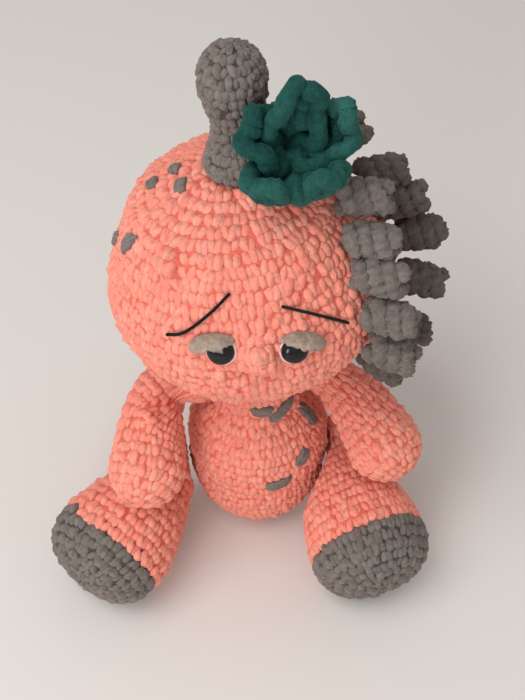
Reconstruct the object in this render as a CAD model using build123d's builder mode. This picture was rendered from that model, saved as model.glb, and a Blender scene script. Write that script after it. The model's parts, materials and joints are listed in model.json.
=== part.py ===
"""A crocheted stuffed dinosaur, sitting on the floor and facing -Y.

Every limb is a crocheted shell over its own stuffing.  The head rides on the round neck, and the
arms and legs are thread-jointed to the sides of the body, so each of them swings.  The origin is
the middle of the body's flat base.
"""
import os
from math import asin, cos, radians, sin

from build123d import *

# Fabric and clearances
WALL = 6.0  # thickness of the crocheted fabric
SEAM_GAP = 0.3  # between pieces that are sewn together
SWING_GAP = 0.9  # between a swinging limb and what it is jointed to

# Body
BODY_RADIUS = 42.0  # at its widest round, level with the hips
HIP_HEIGHT = 48.0
BELLY_RADIUS = 36.0
BELLY_HEIGHT = 20.0
BASE_RADIUS = 19.0  # of the flat that the body sits on
CHEST_RADIUS = 38.5
CHEST_HEIGHT = 88.0
NECK_RADIUS = 23.0
NECK_HEIGHT = 117.0  # centre of the round neck, on which the head rides
BODY_TURN = 8.0  # degrees that the body sits turned under the head
SEAM_YARN_RADIUS = 1.5
SEAM_YARN_RISE = 8.0  # of the neck's seam above the neck's centre

# Head
HEAD_CENTRE = Vector(-4, 15, 196)
HEAD_TILT = 8.0  # degrees to the viewer's left
HEAD_LEAN = 4.0  # degrees backwards
HEAD_RADIUS = 78.0
CHIN_DEPTH = 62.0  # below the head's centre
CHIN_RADIUS = 25.0
JAW_RADIUS = 68.0
JAW_DEPTH = 34.0
BROW_RADIUS = 62.0
BROW_HEIGHT = 38.0
CROWN_RADIUS = 22.0
CROWN_HEIGHT = 68.0  # above the head's centre
NOSE_RADIUS = 9.0
NOSE_HEIGHT = 4.5
BOBBLE_RADIUS = 8.0
BOBBLE_HEIGHT = 5.0

# Horn, flower and mane
HORN_LENGTH = 72.0
HORN_BASE_RADIUS = 20.5
HORN_WAIST_RADIUS = 12.5
HORN_WAIST_HEIGHT = 29.0
HORN_BULB_RADIUS = 16.5
HORN_LEAN = 4.0  # degrees to the viewer's left
HORN_WALL = 5.0
PETAL_REACH = 30.0  # from the flower's middle to the tips of its petals
PETAL_RISE = 9.0
PETAL_THICKNESS = 9.0
PETAL_COUNT = 5
PETAL_NOTCH_RADIUS = 9.0
FLOWER_CUP_DEPTH = 12.0
FLOWER_RISE = 24.0  # of the petals' plane above the head
FLOWER_TURN = 69.0  # degrees, which puts the horn between two petals
FLOWER_STEM_RADIUS = 11.0
FLOWER_STEM_LENGTH = 29.0
CURL_RADIUS = 8.2
CURL_TIP_RADIUS = 7.0
CURL_LENGTH = 31.0

# Face
EYE_DIAMETER = 14.0
EYE_HEIGHT = 5.5
EYE_RIM = 1.0
EYE_POST_DIAMETER = 4.5
EYE_POST_LENGTH = 12.0
EYE_POST_GAP = 0.2
WASHER_DIAMETER = 13.0
WASHER_THICKNESS = 1.5
WASHER_GAP = 0.6  # the fabric behind an eye is curved, so the flat washer stands off its middle
LID_RADIUS = 10.0
LID_SHIFT = 2.5  # outwards from the eye's middle
LID_FALL = 16.0  # degrees that a lid's edge falls outwards
THREAD_RADIUS = 1.0
THREAD_LIFT = 0.6  # keeps a brow clear of the face, which bulges between its stitches

# Arms
SHOULDER_RADIUS = 11.0
SHOULDER_HEIGHT = 117.0
SHOULDER_GAP = 0.5
ELBOW_RADIUS = 14.5
WRIST_RADIUS = 19.0
HAND_RADIUS = 22.0
THUMB_RADIUS = 8.0
THUMB_HEIGHT = 5.0

# Legs and tail
THIGH_RADIUS = 16.0
KNEE_RADIUS = 27.0
FOOT_RADIUS = 36.0
LEG_LENGTH = 76.0  # from the hip to the edge of the sole
SOLE_DEPTH = 28.0
HIP_INSET = 14.0  # how much of a thigh's round end the body's side cuts away
HIP_SEAT_RADIUS = 20.0
TAIL_LENGTH = 44.0
TAIL_RADIUS = 17.0
TAIL_TIP_RADIUS = 7.0
TAIL_HEIGHT = 30.0
TAIL_DROOP = 14.0  # degrees

# Embroidered spots
SPOT_THICKNESS = 1.8
SPOT_WIDTH = 6.5

SIDES = {"left": -1, "right": 1}  # as the viewer sees them


# ---- Places on the toy ----


def profile_plane(plane):
    """The plane through a seat's normal, on which the profile of a turned piece is drawn."""
    return Plane(origin=plane.origin, x_dir=plane.x_dir, z_dir=-plane.y_dir)


def turning_axis(plane):
    return Axis(plane.origin, plane.z_dir)


def seat_on(form, centre, direction):
    """The plane that lies on form where the ray from centre leaves it, with z outwards and x level."""
    ray = Axis(centre, direction)
    crossings = [hit for face in form.faces() for hit in face.find_intersection_points(ray)]
    point, normal = max(crossings, key=lambda hit: (hit[0] - centre).dot(ray.direction))
    if normal.dot(ray.direction) < 0:
        normal = -normal
    return Plane(origin=point, x_dir=Vector(0, 0, 1).cross(normal), z_dir=normal)


def seat_on_head(azimuth, elevation):
    """A seat on the head: azimuth from the face towards the viewer's right, elevation upwards."""
    around, upwards = radians(azimuth), radians(elevation)
    aim = Vector(sin(around) * cos(upwards), -cos(around) * cos(upwards), sin(upwards))
    outwards = head_plane.from_local_coords(aim) - head_plane.origin
    return seat_on(head_outer, head_plane.origin, outwards)


def seat_on_body(azimuth, height):
    """A seat on the body: azimuth from the front towards the viewer's right, height above the floor."""
    around = radians(azimuth)
    return seat_on(body_outer, Vector(0, 0, height), Vector(sin(around), -cos(around), 0))


# ---- Body ----


def belly_curve(inset):
    """The body's outline from its base up to the hips."""
    return Spline(
        (BASE_RADIUS - inset, inset),
        (BELLY_RADIUS - inset, BELLY_HEIGHT),
        (BODY_RADIUS - inset, HIP_HEIGHT),
        tangents=((1, 0.75), (0, 1)),
    )


def body_form(inset=0.0):
    """The body, turned about its axis, with its skin moved inwards by inset."""
    with BuildPart() as form:
        with BuildSketch(Plane.XZ):
            with BuildLine():
                belly = belly_curve(inset)
                chest = Spline(
                    belly @ 1,
                    (CHEST_RADIUS - inset, CHEST_HEIGHT),
                    (NECK_RADIUS - inset, NECK_HEIGHT),
                    tangents=((0, 1), (0, 1)),
                )
                neck = CenterArc((0, NECK_HEIGHT), NECK_RADIUS - inset, 0, 90)
                Polyline(neck @ 1, (0, inset), belly @ 0)
            make_face()
        revolve(axis=Axis.Z)
    return form.part


body_outer = body_form()
body_seat = body_form(-SEAM_GAP)

with BuildPart() as body_shell:
    add(body_outer)
    add(body_form(WALL), mode=Mode.SUBTRACT)

with BuildPart() as body_filling:
    add(body_form(WALL + SEAM_GAP))

seam_height = NECK_HEIGHT + SEAM_YARN_RISE
seam_ring_radius = (NECK_RADIUS**2 - SEAM_YARN_RISE**2) ** 0.5 + SEAM_GAP + SEAM_YARN_RADIUS
with BuildPart(Plane.XY.offset(seam_height)) as neck_seam:
    Torus(seam_ring_radius, SEAM_YARN_RADIUS)


# ---- Head ----


def head_form(inset=0.0):
    """The head, a wide onion shape turned about its own axis and hollowed below for the neck."""
    with BuildPart() as form:
        with BuildSketch(Plane.XZ):
            with BuildLine():
                chin = Line((0, inset - CHIN_DEPTH), (CHIN_RADIUS - inset, inset - CHIN_DEPTH))
                cheek = Spline(
                    chin @ 1,
                    (JAW_RADIUS - inset, -JAW_DEPTH),
                    (HEAD_RADIUS - inset, 0),
                    (BROW_RADIUS - inset, BROW_HEIGHT),
                    (CROWN_RADIUS - inset, CROWN_HEIGHT - inset),
                    tangents=((1, 0.2), (-1, 0.4)),
                )
                Polyline(cheek @ 1, (0, CROWN_HEIGHT - inset), chin @ 0)
            make_face()
        revolve(axis=Axis.Z)
    with BuildPart() as placed:
        add(form.part.moved(head_plane.location))
        with Locations((0, 0, NECK_HEIGHT)):
            Sphere(NECK_RADIUS + SWING_GAP + inset, mode=Mode.SUBTRACT)
    return placed.part


head_plane = Plane(HEAD_CENTRE).rotated((-HEAD_LEAN, -HEAD_TILT, 0))
head_outer = head_form()
head_seat = head_form(-SEAM_GAP)

EYE_SEATS = {"left": seat_on_head(-9, 9), "right": seat_on_head(18, 5)}
NOSE_SEAT = seat_on_head(5, 3)
BOBBLE_SEAT = seat_on_head(-34, 39)

with BuildPart() as head_shell:
    add(head_outer)
    with Locations(NOSE_SEAT.offset(NOSE_HEIGHT - NOSE_RADIUS)):
        Sphere(NOSE_RADIUS)
    with Locations(BOBBLE_SEAT.offset(BOBBLE_HEIGHT - BOBBLE_RADIUS)):
        Sphere(BOBBLE_RADIUS)
    add(head_form(WALL), mode=Mode.SUBTRACT)
    with Locations(*EYE_SEATS.values()):
        Cylinder(EYE_POST_DIAMETER / 2 + EYE_POST_GAP, 3 * WALL, mode=Mode.SUBTRACT)

washer_depth = WALL + WASHER_GAP  # from the head's skin to the washer's outer face
post_depth = max(EYE_POST_LENGTH, washer_depth + WASHER_THICKNESS)
with BuildPart() as head_filling:
    add(head_form(WALL + SEAM_GAP))
    with Locations(*EYE_SEATS.values()):
        Cylinder(
            WASHER_DIAMETER / 2 + SEAM_GAP,
            post_depth + SEAM_GAP,
            align=(Align.CENTER, Align.CENTER, Align.MAX),
            mode=Mode.SUBTRACT,
        )


def make_eye(seat):
    """A safety eye: a glossy dome with a thin rim, moulded in one with its ribbed post."""
    radius = EYE_DIAMETER / 2
    with BuildPart() as eye:
        with BuildSketch(profile_plane(seat)):
            with BuildLine():
                rim = Polyline((0, SEAM_GAP), (radius, SEAM_GAP), (radius, SEAM_GAP + EYE_RIM))
                dome = Spline(rim @ 1, (0, SEAM_GAP + EYE_HEIGHT), tangents=((0, 1), (-1, 0)))
                Line(dome @ 1, rim @ 0)
            make_face()
        revolve(axis=turning_axis(seat))
        with Locations(seat.offset(SEAM_GAP)):
            Cylinder(
                EYE_POST_DIAMETER / 2,
                post_depth + SEAM_GAP,
                align=(Align.CENTER, Align.CENTER, Align.MAX),
            )
    return eye.part


def make_washer(seat):
    """The washer pressed on an eye's post behind the fabric."""
    with BuildPart() as washer:
        with BuildSketch(seat.offset(-washer_depth)):
            Circle(WASHER_DIAMETER / 2)
            Circle(EYE_POST_DIAMETER / 2 + EYE_POST_GAP, mode=Mode.SUBTRACT)
        extrude(amount=-WASHER_THICKNESS)
    return washer.part


def make_eyelid(seat, side):
    """A felt lid over the upper, outer part of an eye, sewn down on the face."""
    lid_edge = Plane(origin=seat.origin, x_dir=seat.z_dir, z_dir=seat.y_dir)
    lid_edge = lid_edge.rotated((side * LID_FALL, 0, 0))
    with BuildPart() as lid:
        with Locations(seat.origin + seat.x_dir * side * LID_SHIFT):
            Sphere(LID_RADIUS)
        with Locations(seat.offset(SEAM_GAP)):
            Sphere(EYE_DIAMETER / 2 + SEAM_GAP, mode=Mode.SUBTRACT)
        add(head_seat, mode=Mode.SUBTRACT)
        split(bisect_by=lid_edge, keep=Keep.TOP)
    return lid.part


def make_eyebrow(angles):
    """A stitched brow: one strand of black thread that lies on the face."""
    lift = THREAD_RADIUS + THREAD_LIFT
    points = [seat_on_head(azimuth, elevation).offset(lift).origin for azimuth, elevation in angles]
    with BuildPart() as eyebrow:
        with BuildLine():
            strand = Spline(*points)
        with BuildSketch(Plane(origin=strand @ 0, z_dir=strand % 0)):
            Circle(THREAD_RADIUS)
        sweep()
    return eyebrow.part


def make_spots(skin, places):
    """Embroidered patches that follow the skin: (seat, length, turn in degrees) for each."""
    with BuildPart() as spots:
        for seat, length, turn in places:
            with BuildSketch(seat.offset(-WALL)):
                SlotOverall(length, SPOT_WIDTH, rotation=turn)
            extrude(amount=2 * WALL)
        add(skin, mode=Mode.INTERSECT)
    return spots.part


BROWS = {
    "left": [(-32, 12), (-24, 15), (-13, 25), (-3, 33)],
    "right": [(18, 25), (29, 18), (42, 6)],
}
HEAD_SPOTS = [
    (seat_on_head(-94, 55), 9, 20),
    (seat_on_head(-68, 68), 10, -20),
    (seat_on_head(-90, 23), 9, 60),
    (seat_on_head(-69, 35), 22, 62),
    (seat_on_head(-100, 66), 8, 0),
]

# ---- Horn, flower and mane ----


def horn_form(inset=0.0):
    """The horn: a flared base, a waist and a fuller rounded tip."""
    root = -HORN_BASE_RADIUS / 2
    with BuildPart() as form:
        with BuildSketch(profile_plane(horn_plane)):
            with BuildLine():
                foot = Line((0, root), (HORN_BASE_RADIUS - inset, root))
                flank = Spline(
                    foot @ 1,
                    (HORN_WAIST_RADIUS - inset, HORN_WAIST_HEIGHT),
                    (HORN_BULB_RADIUS - inset, HORN_LENGTH - HORN_BULB_RADIUS),
                    tangents=((0, 1), (0, 1)),
                )
                tip = CenterArc((0, HORN_LENGTH - HORN_BULB_RADIUS), HORN_BULB_RADIUS - inset, 0, 90)
                Line(tip @ 1, foot @ 0)
            make_face()
        revolve(axis=turning_axis(horn_plane))
    return form.part


crown = seat_on_head(60, 84)
horn_plane = Plane(origin=crown.origin, z_dir=Vector(-sin(radians(HORN_LEAN)), 0, 1))

with BuildPart() as horn_shell:
    add(horn_form())
    add(horn_form(HORN_WALL), mode=Mode.SUBTRACT)
    add(head_seat, mode=Mode.SUBTRACT)

with BuildPart() as horn_filling:
    add(horn_form(HORN_WALL + SEAM_GAP))
    add(head_seat, mode=Mode.SUBTRACT)

flower_seat = Plane(
    origin=seat_on_head(60, 68).origin, x_dir=Vector(0.9, 0, -0.2), z_dir=Vector(0.2, -0.4, 0.9)
)
flower_plane = flower_seat.offset(FLOWER_RISE)
with BuildPart() as flower:
    with BuildSketch(profile_plane(flower_plane)):
        with BuildLine():
            back = Spline(
                (0, -FLOWER_CUP_DEPTH), (PETAL_REACH, PETAL_RISE), tangents=((1, 0), (0.35, 1))
            )
            face = Spline(
                back @ 1, (0, PETAL_THICKNESS - FLOWER_CUP_DEPTH), tangents=((-0.6, 1), (-1, 0))
            )
            Line(face @ 1, back @ 0)
        make_face()
    revolve(axis=turning_axis(flower_plane))
    with Locations(flower_plane):
        with PolarLocations(PETAL_REACH, PETAL_COUNT, start_angle=FLOWER_TURN):
            Cylinder(PETAL_NOTCH_RADIUS, 2 * PETAL_REACH, mode=Mode.SUBTRACT)
    with Locations(flower_plane.offset(PETAL_THICKNESS / 2 - FLOWER_CUP_DEPTH)):
        Cylinder(
            FLOWER_STEM_RADIUS, FLOWER_STEM_LENGTH, align=(Align.CENTER, Align.CENTER, Align.MAX)
        )
    add(head_seat, mode=Mode.SUBTRACT)
    add(horn_form(-SEAM_GAP), mode=Mode.SUBTRACT)


def make_curl(seat, lean):
    """One corkscrew curl's outer shape: a tapered round-ended roll that leaves the head at seat."""
    heading = seat.z_dir + lean
    root = Plane(origin=seat.origin + seat.z_dir * (CURL_RADIUS + SEAM_GAP), z_dir=heading)
    tip_height = CURL_LENGTH - CURL_RADIUS - CURL_TIP_RADIUS
    with BuildPart() as curl:
        with BuildSketch(profile_plane(root)):
            with BuildLine():
                heel = CenterArc((0, 0), CURL_RADIUS, -90, 90)
                side = Line(heel @ 1, (CURL_TIP_RADIUS, tip_height))
                tip = CenterArc((0, tip_height), CURL_TIP_RADIUS, 0, 90)
                Line(tip @ 1, heel @ 0)
            make_face()
        revolve(axis=turning_axis(root))
    return curl.part


# Where each curl is rooted, and how far each row leans from straight out of the head
FRONT_LEAN = Vector(1.33, 0, -0.58)
BACK_LEAN = Vector(0.5, 0, -0.38)
FRONT_CURLS = [(70, 42), (59, 31), (53, 18), (50, 4), (50, -11)]
BACK_CURLS = [(106, 49), (98, 34), (95, 19), (93, 4), (88, -11), (76, -23), (60, -30)]

# ---- Arms ----


def arm_form(name, inset=0.0):
    """An arm: round sections blended along a bent centre line, with both ends rounded."""
    points = ARM_PATHS[name]
    radii = [SHOULDER_RADIUS, ELBOW_RADIUS, WRIST_RADIUS, HAND_RADIUS]
    centre_line = Spline(*points)
    sections = [
        Plane(origin=point, z_dir=centre_line.tangent_at(centre_line.param_at_point(point)))
        for point in points
    ]
    with BuildPart() as form:
        for section, radius in zip(sections, radii):
            with BuildSketch(section):
                Circle(radius - inset)
        loft()
        with Locations(sections[-1]):
            Sphere(HAND_RADIUS - inset, arc_size1=0, align=Align.NONE)
        with Locations(-sections[0]):
            Sphere(SHOULDER_RADIUS - inset, arc_size1=0, align=Align.NONE)
    return form.part


shoulder_reach = NECK_RADIUS + SHOULDER_GAP + SHOULDER_RADIUS
ARM_STEPS = {
    "left": [Vector(-20, 4, -6), Vector(-28, -20, -15), Vector(-29, -45, -22)],
    "right": [Vector(15, -4, -8), Vector(30, -18, -18), Vector(40, -34, -26)],
}
SHOULDERS = {
    name: Vector(side * shoulder_reach, 0, SHOULDER_HEIGHT).rotate(Axis.Z, BODY_TURN)
    for name, side in SIDES.items()
}
ARM_PATHS = {
    name: [SHOULDERS[name]] + [SHOULDERS[name] + step for step in steps]
    for name, steps in ARM_STEPS.items()
}
THUMB_AIMS = {"left": Vector(0, -0.45, 0.9), "right": Vector(0.2, 0.75, 0.6)}

arm_shells = {}
arm_fillings = {}
for name in SIDES:
    arm_outer = arm_form(name)
    thumb_seat = seat_on(arm_outer, ARM_PATHS[name][2], THUMB_AIMS[name])
    with BuildPart() as arm_shells[name]:
        add(arm_outer)
        with Locations(thumb_seat.offset(THUMB_HEIGHT - THUMB_RADIUS)):
            Sphere(THUMB_RADIUS)
        add(arm_form(name, WALL), mode=Mode.SUBTRACT)
    with BuildPart() as arm_fillings[name]:
        add(arm_form(name, WALL + SEAM_GAP))

# ---- Legs ----


def hip_clearance(inset=0.0):
    """What a thigh keeps clear of: the body's lower half turned about the hips, and its side."""
    reach = SWING_GAP + inset
    hips = Axis((0, 0, HIP_HEIGHT), (1, 0, 0))
    with BuildPart() as form:
        with BuildSketch(Plane.XZ):
            with BuildLine():
                belly = belly_curve(-reach)
                Polyline(belly @ 1, (0, HIP_HEIGHT), (0, -reach), belly @ 0)
            make_face()
        revolve(axis=hips)
        mirror(about=Plane.YZ)
        with Locations((0, 0, HIP_HEIGHT)):
            Cylinder(HIP_SEAT_RADIUS + inset, 2 * (BODY_RADIUS + reach), rotation=(0, 90, 0))
    return form.part.rotate(Axis.Z, BODY_TURN)


def leg_form(name, inset=0.0):
    """A leg: a round thigh that widens to the foot and ends in a domed sole."""
    plane = LEG_PLANES[name]
    clearance = hip_clearance(inset)
    with BuildPart() as form:
        with BuildSketch(profile_plane(plane)):
            with BuildLine():
                thigh = CenterArc((0, 0), THIGH_RADIUS - inset, -90, 90)
                calf = Spline(
                    thigh @ 1,
                    (KNEE_RADIUS - inset, LEG_LENGTH / 2),
                    (FOOT_RADIUS - inset, LEG_LENGTH),
                    tangents=((0, 1), (0, 1)),
                )
                sole = Spline(
                    calf @ 1, (0, LEG_LENGTH + SOLE_DEPTH - inset), tangents=((0, 1), (-1, 0))
                )
                Line(sole @ 1, thigh @ 0)
            make_face()
        revolve(axis=turning_axis(plane))
        add(clearance, mode=Mode.SUBTRACT)
    return form.part


leg_droop = asin((HIP_HEIGHT - FOOT_RADIUS) / LEG_LENGTH)  # so that the feet rest on the floor
LEG_SPLAYS = {"left": 45.0, "right": 10.0}  # degrees
LEG_PLANES = {}
for name, side in SIDES.items():
    splay = radians(LEG_SPLAYS[name])
    heading = Vector(side * sin(splay) * cos(leg_droop), -cos(splay) * cos(leg_droop), -sin(leg_droop))
    hip = Vector(side * (BODY_RADIUS + THIGH_RADIUS - HIP_INSET), 0, HIP_HEIGHT)
    LEG_PLANES[name] = Plane(
        origin=hip.rotate(Axis.Z, BODY_TURN), z_dir=heading.rotate(Axis.Z, BODY_TURN)
    )

leg_shells = {}
toe_caps = {}
leg_fillings = {}
for name, plane in LEG_PLANES.items():
    leg_outer = leg_form(name)
    leg_inner = leg_form(name, WALL)
    sole_edge = plane.offset(LEG_LENGTH)
    with BuildPart() as leg_shells[name]:
        add(leg_outer)
        add(leg_inner, mode=Mode.SUBTRACT)
        split(bisect_by=sole_edge, keep=Keep.BOTTOM)
    with BuildPart() as toe_caps[name]:
        add(leg_outer)
        add(leg_inner, mode=Mode.SUBTRACT)
        split(bisect_by=sole_edge.offset(SEAM_GAP), keep=Keep.TOP)
    with BuildPart() as leg_fillings[name]:
        add(leg_form(name, WALL + SEAM_GAP))

# ---- Tail ----


def tail_form(inset=0.0):
    """The tail: a short cone with a rounded tip."""
    root = -TAIL_RADIUS
    with BuildPart() as form:
        with BuildSketch(profile_plane(tail_plane)):
            with BuildLine():
                foot = Line((0, root), (TAIL_RADIUS - inset, root))
                flank = Spline(
                    foot @ 1,
                    (TAIL_RADIUS - inset, 0),
                    (TAIL_TIP_RADIUS - inset / 2, TAIL_LENGTH - TAIL_TIP_RADIUS - inset / 2),
                    (0, TAIL_LENGTH - inset),
                    tangents=((0, 1), (-1, 0)),
                )
                Line(flank @ 1, foot @ 0)
            make_face()
        revolve(axis=turning_axis(tail_plane))
    return form.part


tail_plane = Plane(
    origin=seat_on_body(180 + BODY_TURN, TAIL_HEIGHT).origin,
    z_dir=Vector(0, cos(radians(TAIL_DROOP)), -sin(radians(TAIL_DROOP))).rotate(Axis.Z, BODY_TURN),
)
with BuildPart() as tail_shell:
    add(tail_form())
    add(tail_form(WALL), mode=Mode.SUBTRACT)
    add(body_seat, mode=Mode.SUBTRACT)

with BuildPart() as tail_filling:
    add(tail_form(WALL + SEAM_GAP))
    add(body_seat, mode=Mode.SUBTRACT)

# ---- Spots ----

BODY_SPOTS = [
    (seat_on_body(7, 115), 15, 0),
    (seat_on_body(55, 113), 9, 0),
    (seat_on_body(70, 96), 19, 90),
    (seat_on_body(29, 109), 15, 40),
    (seat_on_body(40, 81), 15, 45),
    (seat_on_body(17, 66), 20, 12),
]
body_skin = body_form(-SEAM_GAP - SPOT_THICKNESS) - body_seat
head_skin = head_form(-SEAM_GAP - SPOT_THICKNESS) - head_seat

# ---- The pieces and their files ----

pieces = {
    "body_shell": body_shell.part,
    "body_filling": body_filling.part,
    "body_spots": make_spots(body_skin, BODY_SPOTS),
    "neck_seam": neck_seam.part,
    "head_shell": head_shell.part,
    "head_filling": head_filling.part,
    "head_spots": make_spots(head_skin, HEAD_SPOTS),
    "horn_shell": horn_shell.part,
    "horn_filling": horn_filling.part,
    "flower": flower.part,
    "tail_shell": tail_shell.part,
    "tail_filling": tail_filling.part,
}
for name, side in SIDES.items():
    pieces[f"eye_{name}"] = make_eye(EYE_SEATS[name])
    pieces[f"eye_washer_{name}"] = make_washer(EYE_SEATS[name])
    pieces[f"eyelid_{name}"] = make_eyelid(EYE_SEATS[name], side)
    pieces[f"eyebrow_{name}"] = make_eyebrow(BROWS[name])
    pieces[f"arm_shell_{name}"] = arm_shells[name].part
    pieces[f"arm_filling_{name}"] = arm_fillings[name].part
    pieces[f"leg_shell_{name}"] = leg_shells[name].part
    pieces[f"toe_cap_{name}"] = toe_caps[name].part
    pieces[f"leg_filling_{name}"] = leg_fillings[name].part
for number, angles in enumerate(FRONT_CURLS, start=1):
    pieces[f"curl_front_{number}"] = make_curl(seat_on_head(*angles), FRONT_LEAN)
for number, angles in enumerate(BACK_CURLS, start=1):
    pieces[f"curl_back_{number}"] = make_curl(seat_on_head(*angles), BACK_LEAN)

os.makedirs("parts", exist_ok=True)
for label, piece in pieces.items():
    piece.label = label
    export_step(piece, f"parts/{label}.step")
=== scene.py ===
"""A crocheted stuffed dinosaur, sitting: its yarn stitches, eyes, brows, horn, flower and mane."""
import json

from math import cos, pi, radians, sin, tau

import bpy
import numpy as np
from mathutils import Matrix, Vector
from mathutils.bvhtree import BVHTree


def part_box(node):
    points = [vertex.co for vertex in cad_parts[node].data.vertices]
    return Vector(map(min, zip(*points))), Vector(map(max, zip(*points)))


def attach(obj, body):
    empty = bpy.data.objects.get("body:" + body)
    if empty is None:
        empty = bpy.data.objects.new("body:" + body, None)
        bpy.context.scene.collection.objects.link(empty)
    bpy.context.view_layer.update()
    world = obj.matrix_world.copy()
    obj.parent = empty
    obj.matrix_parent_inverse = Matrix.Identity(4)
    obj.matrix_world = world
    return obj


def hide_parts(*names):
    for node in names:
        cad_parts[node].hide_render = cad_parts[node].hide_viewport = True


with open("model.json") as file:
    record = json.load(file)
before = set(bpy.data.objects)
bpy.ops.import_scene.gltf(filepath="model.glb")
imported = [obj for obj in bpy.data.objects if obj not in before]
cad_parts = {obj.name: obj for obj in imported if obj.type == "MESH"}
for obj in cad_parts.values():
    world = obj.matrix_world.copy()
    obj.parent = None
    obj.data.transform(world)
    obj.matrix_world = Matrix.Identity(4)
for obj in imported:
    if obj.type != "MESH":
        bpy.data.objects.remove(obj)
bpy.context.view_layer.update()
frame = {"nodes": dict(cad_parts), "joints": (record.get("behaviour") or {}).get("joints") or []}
dice = np.random.default_rng(7)

# ---- Body ----
# The body is worked first, from the base up: one spiral of single crochet in thick coral
# chenille yarn, stuffed with polyester fibre and closed over the round neck.

STITCH_WIDTH = 0.0072
ROW_HEIGHT = 0.0066
ROW_DRIFT = 0.35  # of a stitch, by which the seam moves on in each round
FEWEST_STITCHES = 6  # in the smallest round
STRAND_RADIUS = 0.0022  # outwards
STRAND_WIDEST = 1.3  # times that radius, the most that half of a strand is across
STRAND_SPREAD = 0.38  # of a stitch's width, also the most that half of a strand is across
STRAND_TOP = 0.0008  # how far a stitch stands out of the solid it covers
STRAND_DIVE = 0.0014  # how much deeper a strand's ends lie than its middle
STRAND_LENGTH = 1.5  # of a row's height
STRAND_OFFSET = 0.24  # of a stitch's width, from its middle to the middle of a strand
STRAND_LEAN = 0.2  # of a stitch's width, by which a strand slants over its length
STRAND_RINGS = 5
STRAND_SIDES = 7
STRAND_ROUNDING = 0.03  # of its length, from a strand's end to its first ring
STRAND_BLUNTNESS = 0.35
STRAND_TIP = 0.02  # of its length, by which each end comes to a point
SMALLEST_GIRTH = 0.02  # that counts at the poles, so that no strand wraps round them
SHALLOWEST_DIVE = 0.15  # of the dive, at the poles
LINING_DEPTH = 0.0009  # of the inner layer of yarn that closes the fabric between the stitches
FLOOR_LIFT = 0.0002
PLAN_MARGIN = 0.05  # round each unrolled strand in its square of the flat plan

# how much handmade stitches differ from each other, as standard deviations
STITCH_STRAY = 0.09  # of a stitch's width, in its place in the row
LEAN_SPREAD = 0.16
PLUMPNESS_SPREAD = 0.09
DENT_SPREAD = 0.1
SIDE_SPREAD = 0.05  # of a stitch's width
LENGTH_SPREAD = 0.1
RUN_SPREAD = 0.0005
RISE_SPREAD = 0.0003

CORAL = (0.90, 0.27, 0.20)
CORAL_LIGHT = (0.97, 0.40, 0.31)
# painted shade in the folds between the coral strands, and also the colour of the coral lining
CORAL_CREVICE_SHADE = (0.84, 0.21, 0.15)
CORAL_SHADE = (0.76, 0.16, 0.11)


def solid_tree(*nodes):
    """A search tree over the solids of some nodes, for finding their outside."""
    corners, faces = [], []
    for node in nodes:
        mesh = frame["nodes"][node].data
        first = len(corners)
        corners += [vertex.co.copy() for vertex in mesh.vertices]
        faces += [[first + corner for corner in face.vertices] for face in mesh.polygons]
    return BVHTree.FromPolygons(corners, faces)


def joint_place(name):
    return Vector(next(joint for joint in frame["joints"] if joint["name"] == name)["pos_m"])


def middle(node):
    low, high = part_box(node)
    return (low + high) / 2


def smooth_line(points, count):
    """count points on a soft curve through some points."""
    points = np.array(points, dtype=float)
    share = np.linspace(0, len(points) - 1, count)
    low = np.minimum(share.astype(int), len(points) - 2)
    ends = np.concatenate([2 * points[:1] - points[1:2], points, 2 * points[-1:] - points[-2:-1]])
    a, b, c, d = (ends[low + step] for step in range(4))
    t = (share - low)[:, None]
    squared = 2 * a - 5 * b + 4 * c - d
    cubed = 3 * b - a - 3 * c + d
    return 0.5 * (2 * b + (c - a) * t + squared * t**2 + cubed * t**3)


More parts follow.
